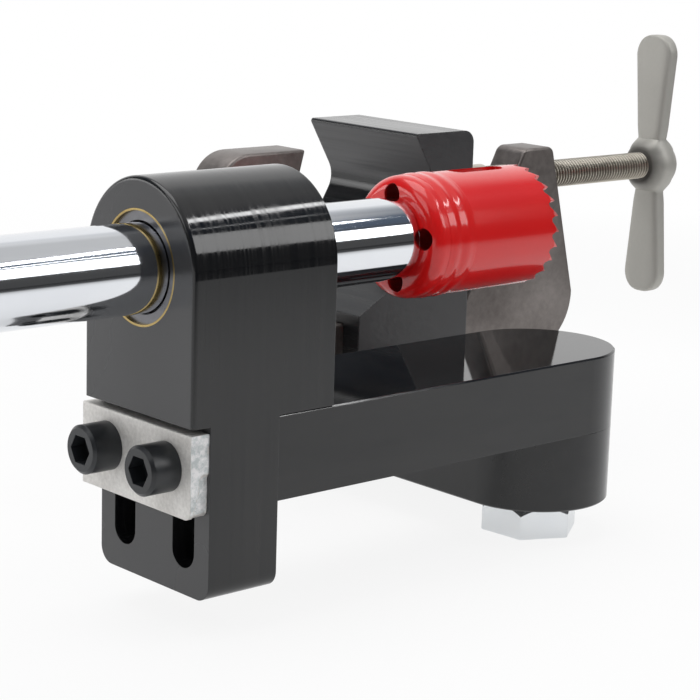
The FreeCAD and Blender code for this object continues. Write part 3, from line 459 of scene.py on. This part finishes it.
# %% Where the saw is
DRIVE_TURN, DRIVE_CIRCLE, DRIVE_HOLE = math.radians(6), 13.25 * MM, 3.35 * MM
saw_low, saw_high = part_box("hole_saw_base")
SAW_BACK = saw_low.x
SAW_CENTRE = (SAW_BACK, (saw_low.y + saw_high.y) / 2, (saw_low.z + saw_high.z) / 2)
SAW_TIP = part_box("hole_saw_cup")[1].x
print("teeth end at", round(SAW_TIP, 4), "m")

# %% The paint
RED_DEEP, RED_LIGHT = rgb(0.76, 0.0060, 0.0070), rgb(0.88, 0.010, 0.010)
WORN_METAL, HOLE_PAINTED_SHADE = rgb(0.62, 0.34, 0.34), rgb(0.004, 0.004, 0.005)

enamel = material("red_paint")
along_saw = enamel.node("SeparateXYZ", {}, {0: enamel.node("TexCoord", output="Object")}, "X")
ripple = enamel.noise(150, 2.0, 0.5, enamel.coordinates())
speck = enamel.noise(900, 3.0, 0.6, enamel.coordinates())
cloud = enamel.noise(35, 4.0, 0.5, enamel.coordinates())
ragged = along_saw + 1.6 * MM * speck + 1.2 * MM * ripple
worn = enamel.band(ragged, SAW_TIP - 0.3 * MM, SAW_TIP + 0.3 * MM)

turned = enamel.coordinates(turn=(DRIVE_TURN, 0, 0), centre=SAW_CENTRE)
sides = [enamel.node("SeparateXYZ", {}, {0: turned}, letter) for letter in "YZ"]
across, up = (enamel.node("Math", {"operation": "ABSOLUTE"}, {0: side}) for side in sides)
far_side = enamel.node("Math", {"operation": "MAXIMUM"}, {0: across, 1: up}) - DRIVE_CIRCLE
near_side = enamel.node("Math", {"operation": "MINIMUM"}, {0: across, 1: up})
from_hole = enamel.node("Math", {"operation": "SQRT"}, {0: far_side * far_side + near_side * near_side})
# painted shade: the drive holes' walls, past their first millimetre, are painted black
drive_hole_shade = 1 - enamel.band(from_hole, DRIVE_HOLE - 0.1 * MM, DRIVE_HOLE + 0.3 * MM)
drive_hole_shade = drive_hole_shade * enamel.band(along_saw, SAW_BACK + 0.2 * MM, SAW_BACK + 1.2 * MM)

painted = enamel.blend(worn * 0.6, enamel.blend(cloud, RED_DEEP, RED_LIGHT), WORN_METAL)
enamel_red = enamel.surface(Base_Color=enamel.blend(drive_hole_shade, painted, HOLE_PAINTED_SHADE), Metallic=worn * 0.8,
                            Roughness=0.34 + 0.1 * speck, Coat_Weight=(1 - worn) * (1 - drive_hole_shade),
                            Coat_Roughness=0.11, Specular_IOR_Level=0.15,
                            Normal=enamel.bump(ripple, 0.10, 0.8 * MM, 0.4 * MM))
print("painted:", enamel_red.name)

# %% [markdown]
# ## Dressing the packed pieces
# Most packed solids already have the right shape, so a finish in their first slot is all they need. A
# table of node and finish is easier to check than a line for each. Whatever it leaves out is a bearing
# part, and wears bearing steel.

# %% The finishes on the packed pieces
WEARS = {"lower_arm": black_arm, "upper_arm": black_arm, "spindle_housing": black_housing,
         "vee_block": black_block, "spindle_shaft": plated_bar, "hole_saw_base": enamel_red,
         "hole_saw_cup": enamel_red, "clamp_frame": torch_plate, "clamp_screw": rolled_thread,
         "wing_handle": turned_steel, "clamp_plate": sawn_bar, "clamp_pad": turned_steel,
         "housing_screws": oxide, "vee_block_screws": oxide, "pivot_bolt": zinc,
         "drill_side_bearing_ring": brass, "saw_side_bearing_ring": brass}
for name, node in nodes.items():
    node.data.materials.clear()
    node.data.materials.append(WEARS.get(name, bearing_steel))
print("dressed:", len(nodes), "nodes")

# %% [markdown]
# ## Making a new piece
# A piece is shaped in a bmesh, in place, and becomes an object at the origin. One helper does the closing
# steps every time: merged doubles, outward faces, smooth shading with sharp edges kept, the body that it
# rides on and the packed node that it stands for.

# %% The closing steps of a piece
MERGE = 0.002 * MM


def piece(name, mesh, body, finish, stands_for=(), sharp=35):
    """Closes a mesh as a piece on a body. Edges over the sharp angle, in degrees, stay sharp."""
    bmesh.ops.remove_doubles(mesh, verts=mesh.verts, dist=MERGE)
    bmesh.ops.recalc_face_normals(mesh, faces=mesh.faces)
    made = link(name, mesh)
    made.data.shade_smooth()
    made.data.set_sharp_from_angle(angle=math.radians(sharp))
    made.data.materials.append(finish)
    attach(made, body)
    if stands_for:
        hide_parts(*stands_for)
    print(name, len(made.data.polygons), "faces")


def fill_holes(mesh):
    """Closes every open edge loop with one face."""
    open_edges = [edge for edge in mesh.edges if edge.is_boundary]
    bmesh.ops.holes_fill(mesh, edges=open_edges, sides=0)


print("points are merged within", MERGE, "m")

# %% [markdown]
# ## The clamp screw
# A thread is one tooth profile carried round an axis while it moves along it. Spin does both at once: its
# dvec is the climb for each step. Neighbouring turns share an edge, so merging doubles closes the spiral,
# and two plane cuts give it square ends. A bump map would be cheaper, but its outline would stay straight.

# %% The thread
STEPS_A_TURN = 28
TURNS_TO_SPARE = 1.5
TOOTH = [(0.0, ROOT), (0.10, ROOT), (0.44, CREST), (0.62, CREST), (1.0, ROOT)]
thread_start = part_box("clamp_pad")[1].x + 0.3 * MM
thread_end = screw_high.x
turns = math.ceil((thread_end - thread_start) / THREAD_PITCH) + 2

screw = bmesh.new()
outline = [screw.verts.new((thread_start + (share - TURNS_TO_SPARE) * THREAD_PITCH, SCREW_Y,
                            SCREW_Z + radius)) for share, radius in TOOTH]
edges = [screw.edges.new(pair) for pair in zip(outline, outline[1:])]
bmesh.ops.spin(screw, geom=outline + edges, cent=(0, SCREW_Y, SCREW_Z), axis=(1, 0, 0),
               dvec=(THREAD_PITCH / STEPS_A_TURN, 0, 0), angle=turns * math.tau, steps=turns * STEPS_A_TURN)
bmesh.ops.remove_doubles(screw, verts=screw.verts, dist=0.01 * MM)


def cut_off(mesh, place, way):
    """Takes away what lies past a place on X, on the side that way gives."""
    everything = mesh.verts[:] + mesh.edges[:] + mesh.faces[:]
    bmesh.ops.bisect_plane(mesh, geom=everything, plane_co=(place, 0, 0), plane_no=(way, 0, 0),
                           clear_outer=True)


cut_off(screw, thread_start, -1)
cut_off(screw, thread_end, 1)
fill_holes(screw)
print("turns:", turns, "from", round(thread_start, 4), "to", round(thread_end, 4))

# %% The plain nose of the screw
NOSE_RADIUS = 3.75 * MM
nose_length = thread_start - screw_low.x
nose_middle = Matrix.Translation((screw_low.x + nose_length / 2, SCREW_Y, SCREW_Z))
bmesh.ops.create_cone(screw, cap_ends=True, segments=32, radius1=NOSE_RADIUS, radius2=NOSE_RADIUS,
                      depth=nose_length, matrix=nose_middle @ Matrix.Rotation(math.pi / 2, 4, "Y"))
piece("threaded_clamp_screw", screw, "clamp_screw_and_handle", rolled_thread, ["clamp_screw"])

# %% [markdown]
# ## The wing handle
# The handle is a forging: a ball with two flat wings that grow out of it without a corner. A ring of points
# is extruded from tip to tip along the handle, and each station gets its own half width, half thickness
# and squareness. Where the wing runs into the ball both sizes pass through a rounded maximum, which is
# the hollow that a forging die leaves.

# %% Stations of the handle
low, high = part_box("wing_handle")
HUB, HUB_X = 10.1 * MM, high.x - 10.5 * MM
WING_REACH = (high.z - low.z) / 2 - 0.02 * MM
WING_ROOT, WING_TIP, TIP_ROUND = 4.95 * MM, 9.5 * MM, 8.5 * MM
WING_HALF_THICKNESS, EDGE_ROUND = 2.95 * MM, 1.6 * MM
HOLLOW = 4.5 * MM
ROUND_POWER, EXTRA_POWER = 2.0, 2.6


def held(value):
    """Keeps a value between 0 and 1."""
    return min(max(value, 0.0), 1.0)


def round_max(first, second):
    """The larger of two sizes, with a round hollow where they meet."""
    overlap = max(HOLLOW - abs(first - second), 0.0) / HOLLOW
    return max(first, second) + overlap * overlap * HOLLOW / 4


def shorten(reach, radius):
    """How much a rounded end takes off a half width, at a distance from the end."""
    inward = min(reach, radius)
    return radius - math.sqrt(max(radius ** 2 - (radius - inward) ** 2, 0.0))


def station(height):
    """Half thickness, half width and squareness of the handle at a height over its middle."""
    out = abs(height)
    ball = math.sqrt(max(HUB ** 2 - out ** 2, 0.0))
    width = WING_ROOT + (WING_TIP - WING_ROOT) * out / WING_REACH - shorten(WING_REACH - out, TIP_ROUND)
    thickness = WING_HALF_THICKNESS - shorten(WING_REACH - out, EDGE_ROUND)
    squareness = ROUND_POWER + EXTRA_POWER * held((out - 0.55 * HUB) / (0.9 * HUB))
    return round_max(ball, thickness), round_max(ball, width), squareness


print("hub radius", round(HUB / MM, 2), "mm, wings to", round(WING_REACH / MM, 1), "mm")

# %% The handle
RING_POINTS = 48
NEAR_TIP_DROPS = (0.0, 0.08, 0.25, 0.5, 0.8, 1.2, 1.8, 2.6, 3.6, 4.8)
BELOW_TIP, EVEN_STEPS = WING_REACH - 6 * MM, 48

handle = bmesh.new()
turn = handle.verts.layers.float.new("turn")
ring = bmesh.ops.create_circle(handle, segments=RING_POINTS, radius=1.0)["verts"]
for point in ring:
    point[turn] = math.atan2(point.co.y, point.co.x)
upper = [WING_REACH - drop * MM for drop in NEAR_TIP_DROPS]
upper += [BELOW_TIP - index * BELOW_TIP / EVEN_STEPS for index in range(EVEN_STEPS)]
heights = [-height for height in upper] + [0.0] + upper[::-1]


def only(kind, items):
    """The points, or the edges, among what an operator made."""
    return [item for item in items if isinstance(item, kind)]


def shape_ring(points, height):
    """Lays a ring of points on the handle's outline at a height."""
    across, wide, square = station(height)
    for point in points:
        cosine, sine = math.cos(point[turn]), math.sin(point[turn])
        point.co = (HUB_X + across * math.copysign(abs(cosine) ** (2 / square), cosine),
                    SCREW_Y + wide * math.copysign(abs(sine) ** (2 / square), sine), SCREW_Z + height)


shape_ring(ring, heights[0])
edges = handle.edges[:]
for height in heights[1:]:
    grown = bmesh.ops.extrude_edge_only(handle, edges=edges)["geom"]
    edges = only(bmesh.types.BMEdge, grown)
    shape_ring(only(bmesh.types.BMVert, grown), height)
fill_holes(handle)
print("stations:", len(heights))

# %% The flat in front of the ball
FLAT_FRONT = HUB_X - 7.2 * MM
cut_off(handle, FLAT_FRONT, -1)
fill_holes(handle)
print("flat at", round(FLAT_FRONT, 4), "m")

# %% [markdown]
# ## Forged steel
# A forging is matte. In front of the ball, around the screw, a painted shade darkens it, following the
# distance from the screw's axis. A bump of the same grains breaks up its highlight.

# %% The forging and its painted shade by the screw
FORGED_DARK, FORGED_LIGHT = rgb(0.43, 0.42, 0.385), rgb(0.55, 0.535, 0.495)
SCREW_PAINTED_SHADE, SCREW_SHADE_REACH = rgb(0.035, 0.030, 0.026), 10.5 * MM

forging = material("handle_steel")
grains = forging.noise(700, 4.0, 0.6, forging.coordinates())
mottle = forging.noise(60, 5.0, 0.6, forging.coordinates())
undarkened = forging.blend(mottle * 0.6 + grains * 0.4, FORGED_DARK, FORGED_LIGHT)
# painted shade: darker near the screw's axis, in front of the ball
from_screw = forging.away((HUB_X, SCREW_Y, SCREW_Z), (0, 1, 1)) + 2 * MM * (mottle - 0.5)
screw_shade = 1 - forging.band(from_screw, 0.6 * SCREW_SHADE_REACH, SCREW_SHADE_REACH)
along_handle = forging.node("SeparateXYZ", {}, {0: forging.node("TexCoord", output="Object")}, "X")
in_front = 1 - forging.band(along_handle, HUB_X - 0.35 * SCREW_SHADE_REACH, HUB_X - 0.15 * SCREW_SHADE_REACH)
forged = forging.surface(Base_Color=forging.blend(screw_shade * in_front * 0.9, undarkened, SCREW_PAINTED_SHADE), Metallic=0.35,
                         Roughness=0.44 + 0.14 * grains, Normal=forging.bump(grains, 0.10, GRAIN_HEIGHT))
piece("forged_wing_handle", handle, "clamp_screw_and_handle", forged, ["wing_handle"], 50)

# %% [markdown]
# ## The sawn clamp bar
# The bar under the two cap screws was sawn from stock and left so. Its end is a grid, roughened and
# rounded at the lower corner, and the sides are drawn back from the grid's rim, so the rough end and
# the smooth faces are one closed shell. Low on the right the metal tore, and lies deeper.

# %% The sawn end of the bar
from mathutils import noise as ripples

low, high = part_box("clamp_plate")
LOWER_ROUND, SAW_MARK = 2.6 * MM, 0.30 * MM
TEAR, TEAR_TOP, TEAR_SIDE, TEAR_LEAN = 0.8 * MM, 13.0 * MM, 3.7 * MM, 0.21
bar = bmesh.new()
end_middle = Matrix.Translation(((low.x + high.x) / 2, low.y, (low.z + high.z) / 2))
end_size = Matrix.Diagonal((high.x - low.x, high.z - low.z, 1, 1))
bmesh.ops.create_grid(bar, x_segments=14, y_segments=48, size=0.5,
                      matrix=end_middle @ Matrix.Rotation(math.pi / 2, 4, "X") @ end_size)
rim_edges = [edge for edge in bar.edges if edge.is_boundary]
rim = {point for edge in rim_edges for point in edge.verts}
for point in bar.verts:
    over_foot = point.co.z - low.z
    rough = ripples.noise(point.co * 260) + 0.5 * ripples.noise(point.co * 900)
    jagged = 0.5 * MM * ripples.noise(point.co * 700)
    below = held((TEAR_TOP - over_foot + 2 * jagged) / (1.2 * MM))
    past_side = point.co.x - low.x - TEAR_SIDE - TEAR_LEAN * (over_foot - 12.0 * MM)
    right = held((past_side + jagged) / (0.5 * MM))
    depth = SAW_MARK * (0.35 if point in rim else 1.0) * (0.9 + rough) + TEAR * below * right
    point.co.y += depth + shorten(over_foot, LOWER_ROUND)
print("sawn end:", len(bar.faces), "faces")

# %% The sides of the bar
drawn = bmesh.ops.extrude_edge_only(bar, edges=rim_edges)["geom"]
for point in only(bmesh.types.BMVert, drawn):
    point.co.y = high.y
fill_holes(bar)


def round_over(mesh, edges, radius, segments):
    """Rounds some edges with a bevel."""
    bmesh.ops.bevel(mesh, geom=edges, offset=radius, segments=segments, profile=0.5, affect="EDGES",
                    material=-1)


long_edges = [edge for edge in bar.edges
              if abs(edge.verts[0].co.y - edge.verts[1].co.y) > 0.8 * (high.y - low.y)
              and len({round(face.normal.x) for face in edge.link_faces}) > 1]
round_over(bar, long_edges, 0.7 * MM, 3)
piece("sawn_clamp_bar", bar, "swing_arm", sawn_bar, ["clamp_plate"], 28)

# %% [markdown]
# ## The clamp frame with broken edges
# The frame was cut from plate by torch and its edges were taken off with a grinder. The packed solid has the
# right outline but knife edges. A copy of its mesh is merged, its flat faces are joined again, the two
# corners of the post are rounded, and each sharp edge outside the screw hole gets a small bevel.

# %% The frame
POST_FROM, ACROSS_PLATE = 45 * MM, 12 * MM
POST_ROUND, EDGE_BREAK, HOLE_CLEARANCE = 2.4 * MM, 1.0 * MM, 7 * MM
packed_frame = nodes["clamp_frame"].data
POST_TOP = max(point.co.z for point in packed_frame.vertices if point.co.x > POST_FROM)
frame_plate = bmesh.new()
frame_plate.from_mesh(packed_frame)
bmesh.ops.remove_doubles(frame_plate, verts=frame_plate.verts, dist=0.001 * MM)
bmesh.ops.dissolve_limit(frame_plate, angle_limit=math.radians(1), verts=frame_plate.verts,
                         edges=frame_plate.edges)
post_corners = [edge for edge in frame_plate.edges
                if min(end.co.x for end in edge.verts) > POST_FROM
                and abs(edge.verts[0].co.y - edge.verts[1].co.y) > ACROSS_PLATE
                and min(end.co.z for end in edge.verts) > POST_TOP - 1 * MM]
round_over(frame_plate, post_corners, POST_ROUND, 8)
print("post corners:", len(post_corners))

# %% The broken edges of the frame
def is_knife_edge(edge):
    """Whether an edge is sharp and lies outside the screw hole."""
    from_screw_axis = min(math.hypot(end.co.y - SCREW_Y, end.co.z - SCREW_Z) for end in edge.verts)
    return edge.is_manifold and edge.calc_face_angle() > math.radians(30) and from_screw_axis > HOLE_CLEARANCE


knife_edges = [edge for edge in frame_plate.edges if is_knife_edge(edge)]
bmesh.ops.bevel(frame_plate, geom=knife_edges, offset=EDGE_BREAK, segments=3, profile=0.5, affect="EDGES",
                material=-1, clamp_overlap=True)
print("edges broken:", len(knife_edges))
piece("torch_cut_clamp_frame", frame_plate, "tube_clamp_frame", torch_plate,
      ["clamp_frame"], 40)

# %% [markdown]
# ## The head of the pivot bolt
# A heavy hexagon head is turned to a cone on the side that bears on the arm, and the cone leaves a shallow
# arc on each flat. A hexagon cut by a cone could be a boolean, but a ring of points that is extruded
# upwards keeps even faces: each point knows how far out the hexagon is there, and so how far the cone drops.

# %% Rings of the bolt head
low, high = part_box("pivot_bolt")
HEAD_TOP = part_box("lower_arm")[0].z
packed_bolt = nodes["pivot_bolt"].data
CORNER = max((point.co.xy for point in packed_bolt.vertices), key=lambda place: place.length)
CORNER_TURN = math.atan2(CORNER.y, CORNER.x)
BEARING_RADIUS, CONE_DROP, LOWER_BREAK = 12.0 * MM, 1.0, 0.35 * MM
SIXTH = math.radians(60)


def flat_reach(turn):
    """Distance from the bolt's axis to the hexagon, at a turn about the axis."""
    from_middle = (turn - CORNER_TURN) % SIXTH - SIXTH / 2
    return CORNER.length * math.cos(SIXTH / 2) / math.cos(from_middle)


def head_levels(reach):
    """Distance and height of the head's four rings, where the hexagon reaches so far."""
    cone_foot = HEAD_TOP - (reach - BEARING_RADIUS) * CONE_DROP
    lowest, lower_side = (reach - LOWER_BREAK, low.z), (reach, low.z + LOWER_BREAK)
    return lowest, lower_side, (reach, cone_foot), (BEARING_RADIUS, HEAD_TOP)


print("corner at", round(CORNER.length / MM, 2), "mm, turned", round(math.degrees(CORNER_TURN) % 60, 1))

# %% The bolt
POINTS_A_FLAT = 16
bolt = bmesh.new()
about_axis = bolt.verts.layers.float.new("about_axis")
points = bmesh.ops.create_circle(bolt, segments=6 * POINTS_A_FLAT, radius=1.0)["verts"]
for point in points:
    point[about_axis] = CORNER_TURN + math.atan2(point.co.y, point.co.x)
for number in range(4):
    if number:
        points = only(bmesh.types.BMVert, bmesh.ops.extrude_edge_only(bolt, edges=edges)["geom"])
    edges = [edge for edge in bolt.edges if edge.verts[0] in points and edge.verts[1] in points]
    for point in points:
        distance, height = head_levels(flat_reach(point[about_axis]))[number]
        point.co = (distance * math.cos(point[about_axis]), distance * math.sin(point[about_axis]), height)
fill_holes(bolt)
shank_length = high.z - HEAD_TOP
shank_radius = max(point.co.xy.length for point in packed_bolt.vertices if point.co.z > high.z - 1 * MM)
bmesh.ops.create_cone(bolt, cap_ends=True, segments=64, radius1=shank_radius, radius2=shank_radius,
                      depth=shank_length, matrix=Matrix.Translation((0, 0, HEAD_TOP + shank_length / 2)))
piece("turned_pivot_bolt", bolt, "swing_arm", zinc, ["pivot_bolt"])
print("shank radius", round(shank_radius / MM, 2), "mm")

# %% [markdown]
# ## The rolled shoulder of the saw
# The saw's cup is joined to its base with two low ridges under the paint. They are only a few tenths of a
# millimetre high, but gloss paint makes them plain. A wavy line is spun once about the spindle.

# %% The ridges
RIDGES = ((-57.6, 2.6, 0.26), (-52.9, 3.2, 0.30))
RIDGE_START, RIDGE_END, RIDGE_STEPS = -60.8, -48.8, 40
CUP_RADIUS, RIDGE_DEPTH, RIDGE_FILM = 19.0, 1.0, 0.03


def ridge_height(place):
    """Height of the wavy line over the cup, in millimetres; its two ends sink into the cup."""
    height = RIDGE_FILM
    for middle, half, rise in RIDGES:
        height += rise * max(math.cos(math.pi / 2 * min(abs(place - middle) / half, 1.0)), 0.0) ** 2
    ends = min(place - RIDGE_START, RIDGE_END - place)
    return height - 0.35 * max(1.0 - ends / 0.7, 0.0)


places = [RIDGE_START + (RIDGE_END - RIDGE_START) * index / RIDGE_STEPS
          for index in range(RIDGE_STEPS + 1)]
profile = [(place, CUP_RADIUS + ridge_height(place)) for place in places]
profile += [(RIDGE_END, CUP_RADIUS - RIDGE_DEPTH), (RIDGE_START, CUP_RADIUS - RIDGE_DEPTH)]
ridge_ring = bmesh.new()
line = [ridge_ring.verts.new((place * MM, SAW_CENTRE[1], SAW_CENTRE[2] + radius * MM))
        for place, radius in profile]
edges = [ridge_ring.edges.new(pair) for pair in zip(line, line[1:] + line[:1])]
bmesh.ops.spin(ridge_ring, geom=line + edges, cent=SAW_CENTRE, axis=(1, 0, 0), angle=math.tau, steps=128,
               use_merge=True)
piece("rolled_saw_shoulder", ridge_ring, "spindle", enamel_red)

# %% [markdown]
